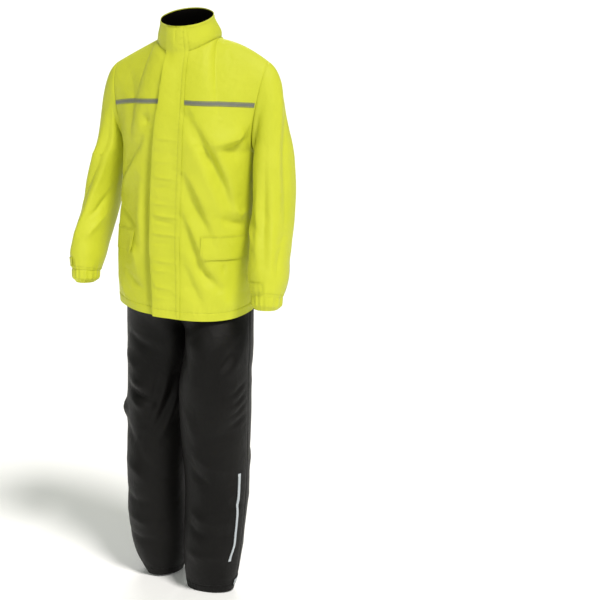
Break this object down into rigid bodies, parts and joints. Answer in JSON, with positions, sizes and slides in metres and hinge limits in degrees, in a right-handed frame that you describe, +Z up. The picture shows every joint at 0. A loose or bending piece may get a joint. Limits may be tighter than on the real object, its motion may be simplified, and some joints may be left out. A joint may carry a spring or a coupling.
{
  "type": "rain suit",
  "caption": "Two-piece rain suit, a jacket with a stand collar over loose trousers, hollow as worn.",
  "frame": {"origin": "middle of the neck base, where the wearer holds the suit, 1.50 m above the trouser hems", "axes": "+Z up; the front faces -Y; the wearer's left is +X"},
  "size_m": [0.6427, 0.3065, 1.6],
  "materials": {
    "yellow_cloth": "coated plain-weave polyester, faint sheen",
    "dark_cloth": "coated plain-weave polyester, faint sheen",
    "dark_lining": "matt knitted lining",
    "grey_tape": "reflective tape, grey by day",
    "silver_tape": "reflective tape, silver by day",
    "zip_tape": "woven zip tape with the closed teeth as one strip"
  },
  "bodies": {
    "root": {"jacket_front_left": "yellow_cloth", "jacket_front_right": "yellow_cloth", "jacket_back": "yellow_cloth", "sleeve_left": "yellow_cloth", "sleeve_right": "yellow_cloth", "collar": "yellow_cloth", "storm_flap": "yellow_cloth", "pocket_flap_left": "yellow_cloth", "pocket_flap_right": "yellow_cloth", "waist_casing": "yellow_cloth", "cuff_left": "yellow_cloth", "cuff_right": "yellow_cloth", "cuff_tab_left": "yellow_cloth", "cuff_tab_right": "yellow_cloth", "trouser_front_left": "dark_cloth", "trouser_front_right": "dark_cloth", "trouser_back_left": "dark_cloth", "trouser_back_right": "dark_cloth", "trouser_waistband": "dark_cloth", "ankle_tab_left": "dark_cloth", "ankle_tab_right": "dark_cloth", "collar_lining": "dark_lining", "chest_tape_left": "grey_tape", "chest_tape_right": "grey_tape", "back_tape": "grey_tape", "sleeve_tape_left": "grey_tape", "sleeve_tape_right": "grey_tape", "leg_stripe_left": "silver_tape", "leg_stripe_right": "silver_tape", "ankle_patch_left": "silver_tape", "ankle_patch_right": "silver_tape", "front_zip": "zip_tape"}
  },
  "joints": []
}
